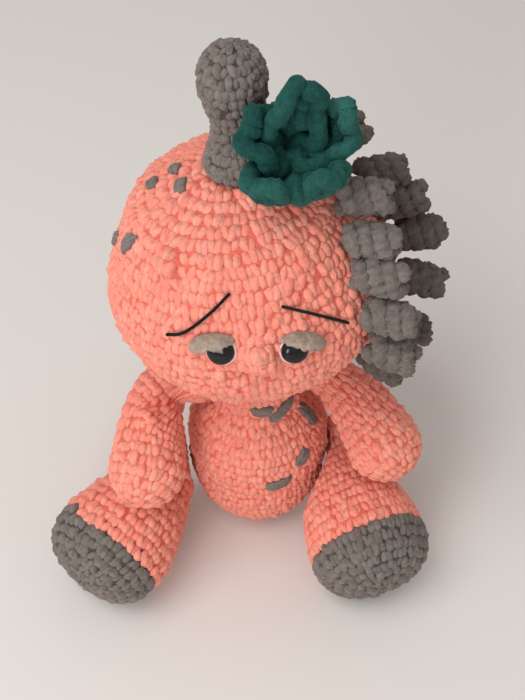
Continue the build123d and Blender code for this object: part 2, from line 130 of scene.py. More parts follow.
class Skin:
    """The outside of a rounded piece, as a grid of points in rings from one pole to the other.

    path is the piece's centre line.  Rays fan out round its first point, run along it, and fan
    in round its last point, so that both rounded ends are covered as evenly as the sides.
    """

    PATH_STEPS = 25
    FAN = 60  # rings over each rounded end
    REACH = 0.2  # from the centre line to where the rays start, outside the piece
    MEDIAN_RINGS = 5  # neighbours whose median distance is taken, to hide seams between solids
    RING_GAP = 0.002
    FEWEST_RINGS = 24
    SETTLINGS = 5
    SOFTENINGS = 5  # of the grid in each settling

    def __init__(self, tree, path, around=96, fan_radius=0.03):
        origins, axes, tilts = self.fan_out(smooth_line(path, self.PATH_STEPS))
        self.around = around
        side = Vector((0, -1, 0))
        aims, reaches = [], []
        for origin, axis, tilt in zip(origins, axes, tilts):
            side = (side - axis * axis.dot(side)).normalized()
            across = axis.cross(side)
            for step in range(around):
                turn = tau * step / around
                aim = (side * cos(turn) + across * sin(turn)) * cos(tilt) + axis * sin(tilt)
                hit = tree.ray_cast(origin + aim * self.REACH, -aim)[0]
                aims.append(aim)
                reaches.append((hit - origin).length if hit else fan_radius)
        aims = np.array(aims).reshape(-1, around, 3)
        margin = self.MEDIAN_RINGS // 2
        reaches = np.reshape(reaches, (-1, around))
        reaches = np.pad(reaches, ((margin, margin), (0, 0)), mode="edge")
        neighbours = [reaches[shift : shift + len(aims)] for shift in range(self.MEDIAN_RINGS)]
        reaches = np.median(neighbours, axis=0)
        self.even_out(np.array(origins)[:, None] + aims * reaches[..., None])
        self.settle(tree)
        closed = np.concatenate([self.points, self.points[:, :1]], axis=1)
        self.girth = np.linalg.norm(np.diff(closed, axis=1), axis=2).sum(axis=1)
        self.find_normals()

    def fan_out(self, path):
        """Ray origins, axes and tilts from pole to pole."""
        headings = np.gradient(path, axis=0)
        path = [Vector(place) for place in path]
        headings = [Vector(heading).normalized() for heading in headings]
        fan = [pi / 2 * step / self.FAN for step in range(self.FAN + 1)]
        origins = [path[0]] * self.FAN + path + [path[-1]] * self.FAN
        axes = [headings[0]] * self.FAN + headings + [headings[-1]] * self.FAN
        tilts = [tilt - pi / 2 for tilt in fan[:-1]] + [0.0] * len(path) + fan[1:]
        return origins, axes, tilts

    def even_out(self, rings):
        """Spaces the rings evenly along the outside, measured as the mean over all directions."""
        steps = np.linalg.norm(np.diff(rings, axis=0), axis=2).mean(axis=1)
        run = np.concatenate([[0.0], np.cumsum(steps)])
        self.length = run[-1]
        self.rings = max(self.FEWEST_RINGS, int(self.length / self.RING_GAP))
        wanted = np.linspace(0, self.length, self.rings)
        place = np.clip(np.searchsorted(run, wanted) - 1, 0, len(run) - 2)
        share = ((wanted - run[place]) / (run[place + 1] - run[place] + 1e-9))[:, None, None]
        self.points = rings[place] * (1 - share) + rings[place + 1] * share

    def settle(self, tree):
        """Loosens the grid where the piece bends sharply, and lays it on the solid again."""
        for _ in range(self.SETTLINGS):
            for _ in range(self.SOFTENINGS):
                inner = self.points[1:-1]
                along = (self.points[:-2] + self.points[2:]) / 2
                around = (np.roll(inner, 1, axis=1) + np.roll(inner, -1, axis=1)) / 2
                self.points[1:-1] = (2 * inner + along + around) / 4
            flat = self.points[1:-1].reshape(-1, 3)
            laid = [tree.find_nearest(place)[0] for place in flat.tolist()]
            self.points[1:-1] = np.array(laid).reshape(self.points[1:-1].shape)

    def find_normals(self):
        """Which way the grid faces; the small rings at a pole take it from the fourth."""
        along = np.gradient(self.points, axis=0)
        round_ring = np.roll(self.points, -1, axis=1) - np.roll(self.points, 1, axis=1)
        normals = np.cross(round_ring, along)
        outwards = self.points - self.points.mean(axis=1, keepdims=True)
        if (normals[self.rings // 2] * outwards[self.rings // 2]).sum() < 0:
            normals = -normals
        for pole, wide in ((0, 3), (-1, -4)):
            normals[pole] = normals[wide].mean(axis=0)
        for ring, wide in ((1, 3), (2, 3), (-2, -4), (-3, -4)):
            normals[ring] = normals[wide]
        length = np.linalg.norm(normals, axis=2, keepdims=True)
        self.normals = normals / np.maximum(length, 1e-12)

    def at(self, run, turn):
        """Points and normals at distances run from the first pole and shares turn of the girth."""
        row = np.clip(run / self.length, 0, 1) * (self.rings - 1)
        low = np.minimum(row.astype(int), self.rings - 2)
        up = (row - low)[..., None]
        column = (turn % 1.0) * self.around
        left = column.astype(int) % self.around
        right = (left + 1) % self.around
        over = (column - np.floor(column))[..., None]
        found = []
        for grid in (self.points, self.normals):
            near = grid[low, left] * (1 - over) + grid[low, right] * over
            far = grid[low + 1, left] * (1 - over) + grid[low + 1, right] * over
            found.append(near * (1 - up) + far * up)
        points, normals = found
        return points, normals / np.linalg.norm(normals, axis=-1, keepdims=True)

    def girth_at(self, run):
        return np.interp(run, np.linspace(0, self.length, self.rings), self.girth)

    def bulge(self, place, width, height):
        """Pulls the skin out round a place, or in for a height below zero."""
        away = np.linalg.norm(self.points - np.array(place), axis=2, keepdims=True)
        self.points = self.points + self.normals * height * np.exp(-((away / width) ** 2))


def mesh_piece(name, points, faces, material, facts=None, plan=None):
    """A mesh object from arrays: named values for each point, and a flat plan of its faces."""
    mesh = bpy.data.meshes.new(name)
    mesh.from_pydata(points.tolist(), [], faces)
    for fact, values in (facts or {}).items():
        attribute = mesh.attributes.new(fact, "FLOAT", "POINT")
        attribute.data.foreach_set("value", np.asarray(values, dtype=np.float32))
    if plan is not None:
        layer = mesh.uv_layers.new(name="OFBake")
        layer.data.foreach_set("uv", np.asarray(plan, dtype=np.float32).ravel())
    mesh.shade_smooth()
    mesh.materials.append(material)
    piece = bpy.data.objects.new(name, mesh)
    bpy.context.scene.collection.objects.link(piece)
    return piece


def tube_faces(count, rings, sides):
    """Faces of count closed tubes, each of rings rings with a point at either end."""
    size = rings * sides + 2
    side = np.arange(sides)
    after = (side + 1) % sides
    quads = []
    for ring in range(rings - 1):
        low, high = ring * sides, (ring + 1) * sides
        quads.append(np.stack([low + side, low + after, high + after, high + side], axis=1))
    quads = np.concatenate(quads)
    start, end = rings * sides, rings * sides + 1
    last = (rings - 1) * sides
    triangles = np.concatenate(
        [
            np.stack([np.full(sides, start), after, side], axis=1),
            np.stack([np.full(sides, end), last + side, last + after], axis=1),
        ]
    )
    first = (np.arange(count) * size)[:, None, None]
    return (first + quads).reshape(-1, 4).tolist() + (first + triangles).reshape(-1, 3).tolist()


def tube_plan(count, rings, sides):
    """A flat plan of the faces of tube_faces: each tube is unrolled in a square of its own."""
    squares = int(np.ceil(np.sqrt(count)))
    side = np.arange(sides) / sides
    after = (np.arange(sides) + 1) / sides
    half = (side + after) / 2

    def unrolled(across, heights):
        """The corners of a ring of faces, from their places round the tube and along it."""
        upwards = np.tile(heights, (sides, 1)) / (rings + 1)
        return np.stack([np.stack(across, axis=1), upwards], axis=-1)

    quads = []
    for ring in range(1, rings):
        quads.append(unrolled([side, after, after, side], [ring, ring, ring + 1, ring + 1]))
    start = unrolled([half, after, side], [0, 1, 1])
    end = unrolled([half, side, after], [rings + 1, rings, rings])
    number = np.arange(count)
    corner = np.stack([number % squares, number // squares], axis=1)[:, None, None, :]
    room = 1 - 2 * PLAN_MARGIN
    plan = []
    for faces in (np.concatenate(quads), np.concatenate([start, end])):
        laid = (corner + PLAN_MARGIN + room * faces) / squares
        plan.append(laid.reshape(-1, 2))
    return np.concatenate(plan)


def strand_shape(rings, sides):
    """One plump strand lying along +y: places along it, and the ring round each of them."""
    along = np.linspace(STRAND_ROUNDING, 1 - STRAND_ROUNDING, rings)
    turn = np.arange(sides) * tau / sides
    swell = np.sin(pi * along) ** STRAND_BLUNTNESS
    across = swell[:, None] * np.cos(turn)
    outwards = swell[:, None] * np.sin(turn)
    run = np.repeat(along[:, None], sides, axis=1)
    points = np.stack([across, run, outwards], axis=-1).reshape(-1, 3)
    tips = np.array([[0, -STRAND_TIP, 0], [0, 1 + STRAND_TIP, 0]])
    return np.concatenate([points, tips])


def place_stitches(skin, first, last, width, height):
    """The run and turn of each stitch of a spiral of rows, and the share of the girth it takes."""
    rows = max(1, round((last - first) / height))
    step = (last - first) / rows
    runs, turns, shares = [], [], []
    seam = 0.0  # the turn at which one round runs on into the next
    for row in range(rows):
        run = first + (row + 0.5) * step
        count = max(FEWEST_STITCHES, round(float(skin.girth_at(run)) / width))
        number = np.arange(count)
        runs.append(run + (number / count - 0.5) * step)
        turns.append(seam + (number + STITCH_STRAY * dice.standard_normal(count)) / count)
        shares.append(np.full(count, 1 / count))
        seam += ROW_DRIFT / count
    return np.concatenate(runs), np.concatenate(turns), np.concatenate(shares), step


def crochet(
    name, skin, material, first=0.0, last=None, keep=None, width=STITCH_WIDTH, height=ROW_HEIGHT
):
    """A spiral of single crochet over a skin: two plump strands to a stitch, in a V."""
    last = skin.length if last is None else last
    runs, turns, shares, step = place_stitches(skin, first, last, width, height)
    if keep is not None:
        kept = keep(skin.at(runs, turns)[0])
        runs, turns, shares = runs[kept], turns[kept], shares[kept]
    count = len(runs)
    shape = strand_shape(STRAND_RINGS, STRAND_SIDES)
    along = shape[:, 1] - 0.5
    arch = np.sin(pi * np.clip(shape[:, 1], 0, 1))
    wide = (shares * skin.girth_at(runs))[:, None]
    across = np.minimum(STRAND_RADIUS * STRAND_WIDEST, STRAND_SPREAD * wide)

    def vary(usual, spread):
        """A value for each stitch, near the usual one: no two handmade stitches are the same."""
        return (usual + spread * dice.standard_normal(count))[:, None]

    points, tones, lifts = [], [], []
    for hand in (-1, 1):
        lean = hand * vary(STRAND_LEAN, LEAN_SPREAD)
        plumpness = vary(1, PLUMPNESS_SPREAD)
        lumps = plumpness * (1 + DENT_SPREAD * dice.standard_normal((count, len(shape))))
        beside = hand * STRAND_OFFSET + lean * along + vary(0, SIDE_SPREAD)
        x = beside * wide + shape[:, 0] * across * lumps
        y = along * STRAND_LENGTH * step * vary(1, LENGTH_SPREAD) + vary(0, RUN_SPREAD)
        place_run = runs[:, None] + y
        poleward = np.minimum(np.maximum(place_run, 0), np.maximum(skin.length - place_run, 0))
        dive = STRAND_DIVE * (1 - arch) * np.clip(poleward / step, SHALLOWEST_DIVE, 1)
        z = STRAND_TOP - STRAND_RADIUS * (1 - shape[:, 2] * lumps) + vary(0, RISE_SPREAD) - dive
        turn = turns[:, None] + x / np.maximum(skin.girth_at(place_run), SMALLEST_GIRTH)
        place, normal = skin.at(place_run, turn)
        points.append(place + normal * z[..., None])
        tones.append(np.repeat(dice.random(count), len(shape)))
        # how high each point lies in its strand: the low points get the painted shade of the folds
        lifts.append(((z - STRAND_TOP) / (2 * STRAND_RADIUS) + 1).ravel())
    points = np.concatenate([group.reshape(-1, 3) for group in points])
    points[:, 2] = np.maximum(points[:, 2], FLOOR_LIFT)
    faces = tube_faces(2 * count, STRAND_RINGS, STRAND_SIDES)
    plan = tube_plan(2 * count, STRAND_RINGS, STRAND_SIDES)
    facts = {"tone": np.concatenate(tones), "lift": np.clip(np.concatenate(lifts), 0, 1)}
    return mesh_piece(name, points, faces, material, facts, plan)


def lining(name, skin, material, first=0.0, last=1.0):
    """The closed inner layer of yarn under the stitches, over a share of the skin's rings; its
    darker colour is painted shade in the gaps between them.
    """
    start, end = round(first * (skin.rings - 2)) + 1, round(last * (skin.rings - 2))
    points = (skin.points - skin.normals * LINING_DEPTH)[start:end:2]
    rings, around = points.shape[:2]
    ends = np.array([points[0].mean(axis=0), points[-1].mean(axis=0)])
    points = np.concatenate([points.reshape(-1, 3), ends])
    points[:, 2] = np.maximum(points[:, 2], FLOOR_LIFT)
    faces = tube_faces(1, rings, around)
    return mesh_piece(name, points, faces, material, plan=tube_plan(1, rings, around))


def noise(nodes, scale, detail=2, roughness=0.5):
    texture = nodes.new("ShaderNodeTexNoise")
    texture.inputs["Scale"].default_value = scale
    texture.inputs["Detail"].default_value = detail
    texture.inputs["Roughness"].default_value = roughness
    return texture


def point_fact(nodes, fact):
    """A value that each point of the mesh carries, read by its name."""
    attribute = nodes.new("ShaderNodeAttribute")
    attribute.attribute_name = fact
    return attribute


def arithmetic(nodes, links, operation, first, second):
    """The output of one sum or product of two others."""
    step = nodes.new("ShaderNodeMath")
    step.operation = operation
    links.new(first, step.inputs[0])
    links.new(second, step.inputs[1])
    return step.outputs["Value"]


def ramp(nodes, low, high, low_at=0.0, high_at=1.0):
    """Colours that run from low to high."""
    blend = nodes.new("ShaderNodeValToRGB")
    for end, colour, position in zip(blend.color_ramp.elements, (low, high), (low_at, high_at)):
        end.color = (*colour, 1)
        end.position = position
    return blend


def colour_mix(nodes, blend_type="MIX"):
    mix = nodes.new("ShaderNodeMix")
    mix.data_type = "RGBA"
    mix.blend_type = blend_type
    return mix


# pile sets how strongly the painted shade of the pile darkens the colour; the third colour is the
# painted shade in the folds
def chenille(name, colour, light, crevice_shade, pile=0.35, sheen=0.5):
    """Thick chenille yarn: short pile, with painted shade in the folds, and each stitch a little
    different.
    """
    material = bpy.data.materials.new(name)
    material.use_nodes = True
    nodes, links = material.node_tree.nodes, material.node_tree.links
    shader = nodes["Principled BSDF"]
    shader.inputs["Roughness"].default_value = 0.92
    shader.inputs["Specular IOR Level"].default_value = 0.15
    shader.inputs["Sheen Weight"].default_value = sheen
    shader.inputs["Sheen Roughness"].default_value = 0.45
    shader.inputs["Sheen Tint"].default_value = (*light, 1)
    shader.inputs["Subsurface Weight"].default_value = 0.35
    shader.inputs["Subsurface Radius"].default_value = (1.0, 0.5, 0.4)
    shader.inputs["Subsurface Scale"].default_value = 0.003

    place = nodes.new("ShaderNodeTexCoord")
    patches = noise(nodes, scale=45, detail=3)
    tufts = noise(nodes, scale=330, detail=3)
    fibres = noise(nodes, scale=900, detail=5, roughness=0.7)
    for texture in (patches, tufts, fibres):
        links.new(place.outputs["Object"], texture.inputs["Vector"])

    # painted shade in the folds between the strands, set by each point's lift, and some stitches
    # lighter than others
    fold = ramp(nodes, crevice_shade, colour, low_at=0.18, high_at=0.72)
    links.new(point_fact(nodes, "lift").outputs["Fac"], fold.inputs["Fac"])
    tone = point_fact(nodes, "tone").outputs["Fac"]
    lighter = colour_mix(nodes)
    lighter.inputs["B"].default_value = (*light, 1)
    links.new(fold.outputs["Color"], lighter.inputs["A"])
    patchiness = arithmetic(nodes, links, "MULTIPLY", tone, patches.outputs["Fac"])
    links.new(patchiness, lighter.inputs["Factor"])

    # painted shade of the pile: fine noise darkens the colour where the pile bumps are low
    pale = nodes.new("ShaderNodeMapRange")
    pale.inputs["From Min"].default_value = 0.75
    pale.inputs["From Max"].default_value = 1.15
    pale.inputs["To Min"].default_value = 0.35
    shade = arithmetic(nodes, links, "ADD", fibres.outputs["Fac"], tufts.outputs["Fac"])
    links.new(shade, pale.inputs["Value"])
    painted_pile_shade = colour_mix(nodes, "MULTIPLY")
    painted_pile_shade.inputs["Factor"].default_value = pile
    links.new(lighter.outputs["Result"], painted_pile_shade.inputs["A"])
    links.new(pale.outputs["Result"], painted_pile_shade.inputs["B"])
    links.new(painted_pile_shade.outputs["Result"], shader.inputs["Base Color"])

    normal = None
    for texture, strength, depth in ((tufts, 0.75, 0.0016), (fibres, 0.7, 0.0007)):
        bump = nodes.new("ShaderNodeBump")
        bump.inputs["Strength"].default_value = strength
        bump.inputs["Distance"].default_value = depth
        links.new(texture.outputs["Fac"], bump.inputs["Height"])
        if normal:
            links.new(normal, bump.inputs["Normal"])
        normal = bump.outputs["Normal"]
    links.new(normal, shader.inputs["Normal"])
    return material


coral_yarn = chenille("coral_yarn", CORAL, CORAL_LIGHT, CORAL_CREVICE_SHADE)
# the linings' dark colour is painted shade in the gaps between the coral stitches
coral_gap_shade = chenille("coral_gap_shade", CORAL_CREVICE_SHADE, CORAL_CREVICE_SHADE, CORAL_SHADE)


def dress(piece, body, slot, *nodes, fill=0.8):
    """Fixes a stuffed piece to its body, in place of the nodes that it stands for, if any."""
    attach(piece, body)
    if nodes:
        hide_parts(*nodes)


FLANK = (0.029, 0.004)  # where a hanging leg passes the body, on the right; the left is opposite
FLANK_HEIGHT = 0.010
FLANK_WIDTH = 0.014
FLANK_DEPTH = 0.0014  # by which the stitches lie lower there

neck = joint_place("head_nod")
hips = joint_place("leg_right_swing")
body_skin = Skin(solid_tree("body_shell"), [(0, 0, hips.z), (0, 0, neck.z)])
for side in (1, -1):
    flank = (side * FLANK[0], side * FLANK[1], FLANK_HEIGHT)
    body_skin.bulge(flank, FLANK_WIDTH, -FLANK_DEPTH)
body_yarn = crochet("body_yarn", body_skin, coral_yarn)
dress(body_yarn, "torso", "coral_chenille", "body_shell")
body_lining = lining("body_lining", body_skin, coral_gap_shade)
dress(body_lining, "torso", "coral_chenille", "body_filling")

# ---- Head ----
# A wide onion shape in the same yarn and stuffing, worked in one spiral from the neck to the
# crown.  The nose and the knob on the forehead are pulled out of the fabric, and the fold under
# the nose is drawn in.

HEAD_AXIS = Vector((-0.139, 0.07, 0.988))
HEAD_CORE = 0.012  # half the length of its centre line, on which the rounded ends are set
HEAD_STITCH_WIDTH = 0.0078
HEAD_ROW_HEIGHT = 0.0070
NECK_OPENING = 0.0265  # round the middle of the neck, where the head has no stitches
FOLD_WIDTH = 0.0055
FOLD_DEPTH = 0.0055
FACE_FORMS = (  # bearing and height on the face in degrees, then how wide each is and how far out
    ((5, 4), 0.011, 0.0042),  # nose
    ((-2, -8), FOLD_WIDTH, -FOLD_DEPTH),  # the fold under the nose, left, middle and right
    ((5, -10), FOLD_WIDTH, -FOLD_DEPTH),
    ((12, -8), FOLD_WIDTH, -FOLD_DEPTH),
    ((-34, 39), 0.010, 0.0020),  # knob on the forehead
)

head_middle = middle("head_filling")
head_skin = Skin(
    solid_tree("head_shell"),
    [head_middle - HEAD_AXIS * HEAD_CORE, head_middle + HEAD_AXIS * HEAD_CORE],
    around=144,
    fan_radius=0.075,
)
head_tree = solid_tree("head_shell")
head_turn = Vector((0, 0, 1)).rotation_difference(HEAD_AXIS)


def on_head(azimuth, elevation):
    """Where a ray leaves the head, and which way the fabric faces there."""
    around, upwards = radians(azimuth), radians(elevation)
    aim = head_turn @ Vector((sin(around) * cos(upwards), -cos(around) * cos(upwards), sin(upwards)))
    place, out, _, _ = head_tree.ray_cast(head_middle + aim * Skin.REACH, -aim)
    return place, out if out.dot(aim) > 0 else -out


def clear_of_neck(places):
    return np.linalg.norm(places - np.array(neck), axis=1) > NECK_OPENING


for (azimuth, elevation), width, height in FACE_FORMS:
    head_skin.bulge(on_head(azimuth, elevation)[0], width, height)
head_yarn = crochet(
    "head_yarn",
    head_skin,
    coral_yarn,
    keep=clear_of_neck,
    width=HEAD_STITCH_WIDTH,
    height=HEAD_ROW_HEIGHT,
)
dress(head_yarn, "head", "coral_chenille", "head_shell")
head_lining = lining("head_lining", head_skin, coral_gap_shade)
dress(head_lining, "head", "coral_chenille", "head_filling")

# ---- Neck seam ----
# The head is sewn to the neck with a ring of slanted overcast stitches in the same yarn.  They
# lie where the two covers meet, and let the head rock.

SEAM_STITCHES = 20
SEAM_SLANT = 0.35  # of a stitch, by which each runs past the next one's start
SEAM_STEPS = 7  # points along a stitch
SEAM_THREAD = 0.0013
SEAM_INSET = 0.0015  # from the outside of the seam to the middle of its thread
SEAM_RISE = 0.0012
SEAM_BOW = 0.0006  # outwards, at the middle of a stitch
ROPE_TIP = 0.4  # of its radius, by which each end of a rope comes to a point
ANY_SLANT = (0.31, 0.52, 0.79)  # in line with no rope, to start the first ring from


def ropes(name, lines, radii, material, sides=10, lumps=0.0, lift=0.8):
    """Closed round tubes along lines of as many points, with soft lumps, as one piece."""
    points = []
    for line, radius in zip(lines, radii):
        line = np.asarray(line, dtype=float)
        ahead = np.gradient(line, axis=0)
        ahead /= np.linalg.norm(ahead, axis=1, keepdims=True)
        side = np.cross(ahead[0], ANY_SLANT)
        sizes = np.broadcast_to(radius, len(line))
        turn = np.arange(sides) * tau / sides
        for place, along, size in zip(line, ahead, sizes):
            side = side - along * along.dot(side)
            side /= np.linalg.norm(side)
            ring = np.outer(np.cos(turn), side) + np.outer(np.sin(turn), np.cross(along, side))
            reach = size * (1 + lumps * dice.standard_normal(sides))
            points.append(place + ring * reach[:, None])
        first_tip = line[0] - ahead[0] * sizes[0] * ROPE_TIP
        last_tip = line[-1] + ahead[-1] * sizes[-1] * ROPE_TIP
        points.append([first_tip, last_tip])
    points = np.concatenate(points)
    rings = len(lines[0])
    tones = np.repeat(dice.random(len(lines)), rings * sides + 2)
    facts = {"tone": tones, "lift": np.full(len(points), lift)}
    faces = tube_faces(len(lines), rings, sides)
    return mesh_piece(name, points, faces, material, facts, tube_plan(len(lines), rings, sides))


def fasten(piece, body, slot, *nodes):
    """Fixes an unstuffed piece to its body, in place of the nodes that it stands for."""
    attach(piece, body)
    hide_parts(*nodes)


seam_low, seam_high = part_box("neck_seam")
seam_middle = (seam_low + seam_high) / 2
seam_radius = (seam_high.x - seam_low.x) / 2 - SEAM_INSET
seam_lines = []
for stitch in range(SEAM_STITCHES):
    line = []
    for share in np.linspace(0, 1, SEAM_STEPS):
        turn = tau * (stitch + share * (1 + SEAM_SLANT)) / SEAM_STITCHES
        rise = SEAM_RISE * sin(tau * share)
        out = seam_radius + SEAM_BOW * sin(pi * share)
        line.append(seam_middle + Vector((out * cos(turn), out * sin(turn), rise)))
    seam_lines.append(line)
neck_stitches = ropes("neck_stitches", seam_lines, [SEAM_THREAD] * SEAM_STITCHES, coral_yarn)
fasten(neck_stitches, "torso", "coral_chenille", "neck_seam")

# ---- Eyes ----
# Black safety eyes, glossy plastic domes pushed through the fabric and held by washers behind
# it.  A thin pinkish ring round each dome is a painted reflection at the dome's edge.

EYE_RADIUS = 0.007
EYE_RISE = 0.0055
# the rim: a thin pinkish ring round each dome, a painted reflection at its edge
RIM_RADIUS = 0.0005
RIM_GAP = 0.0004  # between the dome's edge and the middle of the rim
RIM_HEIGHT = 0.0006
RIM_STEPS = 64


def clouded_plastic(name, dark, light, scale, detail=2):
    """Moulded plastic with a faint clouding: the material, its shader and the clouding."""
    material = bpy.data.materials.new(name)
    material.use_nodes = True
    nodes, links = material.node_tree.nodes, material.node_tree.links
    shader = nodes["Principled BSDF"]
    clouds = noise(nodes, scale, detail)
    tint = ramp(nodes, dark, light)
    links.new(clouds.outputs["Fac"], tint.inputs["Fac"])
    links.new(tint.outputs["Color"], shader.inputs["Base Color"])
    return material, shader, clouds


gloss_black, gloss_shader, scuffs = clouded_plastic(
    "gloss_black", dark=(0.004, 0.004, 0.005), light=(0.012, 0.010, 0.010), scale=400, detail=4
)
gloss_nodes, gloss_links = gloss_black.node_tree.nodes, gloss_black.node_tree.links
gloss_shader.inputs["Specular IOR Level"].default_value = 0.3
scuff_range = gloss_nodes.new("ShaderNodeMapRange")
scuff_range.inputs["To Min"].default_value = 0.06
scuff_range.inputs["To Max"].default_value = 0.16
gloss_links.new(scuffs.outputs["Fac"], scuff_range.inputs["Value"])
gloss_links.new(scuff_range.outputs["Result"], gloss_shader.inputs["Roughness"])

# the washers' plastic, whose pinkish tint is also the painted reflection of the rims
pale_plastic_and_reflection, pale_shader, _ = clouded_plastic(
    "pale_plastic_and_reflection", dark=(0.62, 0.45, 0.46), light=(0.80, 0.68, 0.69), scale=600
)
pale_shader.inputs["Roughness"].default_value = 0.3


def repaint(node, material):
    mesh = frame["nodes"][node].data
    mesh.materials.clear()
    mesh.materials.append(material)
    mesh.shade_smooth()


def corner_mean(node):
    corners = [vertex.co for vertex in frame["nodes"][node].data.vertices]
    return sum(corners, Vector()) / len(corners)


class Seat:
    """A place on the face: its middle, the way out of the head, and level and upward directions."""

    def __init__(self, place, out):
        self.place = place
        self.out = out.normalized()
        self.level = Vector((0, 0, 1)).cross(self.out).normalized()
        self.up = self.out.cross(self.level)

    def at(self, level, up, out):
        return self.place + self.level * level + self.up * up + self.out * out


eye_seats = {}
for name in ("left", "right"):
    eye, washer = frame["nodes"][f"eye_{name}"], middle(f"eye_washer_{name}")
    gaze = (corner_mean(f"eye_{name}") - washer).normalized()
    tip = max((vertex.co - washer).dot(gaze) for vertex in eye.data.vertices)
    seat = Seat(washer + gaze * (tip - EYE_RISE), gaze)
    eye_seats[name] = seat
    repaint(f"eye_{name}", gloss_black)
    repaint(f"eye_washer_{name}", pale_plastic_and_reflection)
    # a ring round the dome's edge: painted reflection
    reach = EYE_RADIUS + RIM_GAP
    ring = []
    for turn in np.linspace(0, tau, RIM_STEPS, endpoint=False):
        ring.append(seat.at(reach * cos(turn), reach * sin(turn), RIM_HEIGHT))
    ring.append(ring[0])
    eye_reflection_rim = ropes(f"eye_reflection_rim_{name}", [ring], [RIM_RADIUS], pale_plastic_and_reflection)
    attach(eye_reflection_rim, "head")

# ---- Eyelids ----
# Leaf-shaped caps of thick beige felt, sewn over the upper, outer part of each eye so that they
# droop.  Their lower edge is cut by hand and is a little ragged.

LID_RADIUS = 0.0082
LID_STRETCH = 1.32
LID_RISE = 0.66
LID_DEPTH = 0.92  # of its radius, outwards
LID_POINT = 1.4  # how sharply its two ends narrow
LID_SHIFT = 0.0046
LID_LIFT = 0.0022
LID_FALL = radians(20)
LID_RAGGED = 0.0008
LID_ACROSS = 28
LID_UP = 14
FELT_THICKNESS = 0.0012
FELT = (0.36, 0.28, 0.22)
FELT_LIGHT = (0.46, 0.37, 0.30)
# painted shade in the folds of the felt
FELT_CREVICE_SHADE = (0.24, 0.18, 0.14)

felt = chenille("felt", FELT, FELT_LIGHT, FELT_CREVICE_SHADE, pile=0.6, sheen=0.3)


def lid_corners(seat, side):
    """Both faces of a lid, as rows of corners from the eye's outer end to its inner end."""
    fall = -side * LID_FALL
    corners = []
    for layer in (0.0, FELT_THICKNESS):
        radius = LID_RADIUS + layer
        for column in range(LID_ACROSS + 1):
            sweep = pi * column / LID_ACROSS
            ragged = LID_RAGGED * dice.standard_normal()
            for row in range(LID_UP + 1):
                bend = pi / 2 * (1 - row / LID_UP)
                level = LID_STRETCH * radius * cos(sweep)
                rise = radius * sin(sweep) * sin(bend) + ragged * (row / LID_UP)
                out = radius * sin(sweep) ** LID_POINT * cos(bend) * LID_DEPTH
                along = side * LID_SHIFT + level * cos(fall) - rise * sin(fall)
                up = LID_LIFT + level * sin(fall) + rise * cos(fall) * LID_RISE
                corners.append(seat.at(along, up, out))
    return np.array(corners)


def lid_faces():
    """Faces of both sides of a lid and of its cut edges."""
    width = LID_UP + 1
    inner = (LID_ACROSS + 1) * width
    faces = []
    for column in range(LID_ACROSS):
        for row in range(LID_UP):
            corner = column * width + row
            faces.append((corner, corner + 1, corner + width + 1, corner + width))
            corner += inner
            faces.append((corner, corner + width, corner + width + 1, corner + 1))
    for column in range(LID_ACROSS):
        for row in (0, LID_UP):
            low, high = column * width + row, (column + 1) * width + row
            loop = (low, high, high + inner, low + inner)
            faces.append(loop if row == 0 else loop[::-1])
    return faces


for name, side in (("left", -1), ("right", 1)):
    points = lid_corners(eye_seats[name], side)
    # an even lift, so the felt gets only a trace of the painted fold shade
    facts = {"tone": dice.random(len(points)), "lift": np.full(len(points), 0.7)}
    eyelid = mesh_piece(f"felt_lid_{name}", points, lid_faces(), felt, facts=facts)
    fasten(eyelid, "head", "beige_felt", f"eyelid_{name}")

# ---- Eyebrows ----
# Worried brows, each a few long stitches of black embroidery thread.  The thread is laid over
# the finished fabric and caught down at its ends and bends.

THREAD_RADIUS = 0.00085
THREAD_LIFT = 0.0015
THREAD_BLACK = (0.008, 0.008, 0.009)
THREAD_LIGHT = (0.03, 0.03, 0.03)
# painted shade in the folds of the thread
THREAD_CREVICE_SHADE = (0.002, 0.002, 0.002)
BROW_STEPS = 40
BROWS = {  # bearings and heights on the face, in degrees, that each thread passes
    "left": [(-32, 10), (-24, 13), (-13, 22), (-4, 30)],
    "right": [(17, 21), (28, 14), (41, 3)],
}

black_thread = chenille(
    "black_thread", THREAD_BLACK, THREAD_LIGHT, THREAD_CREVICE_SHADE, pile=0.3, sheen=0.2
)

for name, angles in BROWS.items():
    marks = []
    for azimuth, elevation in angles:
        place, out = on_head(azimuth, elevation)
        marks.append(place + out * THREAD_LIFT)
    line = smooth_line(marks, BROW_STEPS)
    brow = ropes(f"brow_{name}", [line], [THREAD_RADIUS], black_thread, sides=8)
    fasten(brow, "head", "black_thread", f"eyebrow_{name}")

# ---- Spots ----
# Grey spots on the forehead and the belly, each three satin stitches of yarn laid side by side
# on the finished fabric and tucked in at both ends.

SPOT_STRAND = 0.0018
SPOT_ROW_GAP = 1.1  # of a strand's radius, from one strand's middle to the next
SPOT_REACH = 0.92  # of the spot's half length, for the middle strand
SPOT_SHORTENING = 0.12  # of the half length, for the strands beside it
SPOT_LIFT = 0.0007
SPOT_TUCK = 0.0016  # by which a strand's ends go down into the fabric
SPOT_STEPS = 12
SPOT_ROUNDING = 0.12  # of its length, over which a strand's end is rounded
SPOT_BLUNTNESS = 0.4
GREY = (0.17, 0.145, 0.13)
GREY_LIGHT = (0.25, 0.22, 0.20)
# painted shade in the folds between the grey strands
GREY_CREVICE_SHADE = (0.075, 0.063, 0.057)

grey_yarn = chenille("grey_yarn", GREY, GREY_LIGHT, GREY_CREVICE_SHADE, pile=0.5)


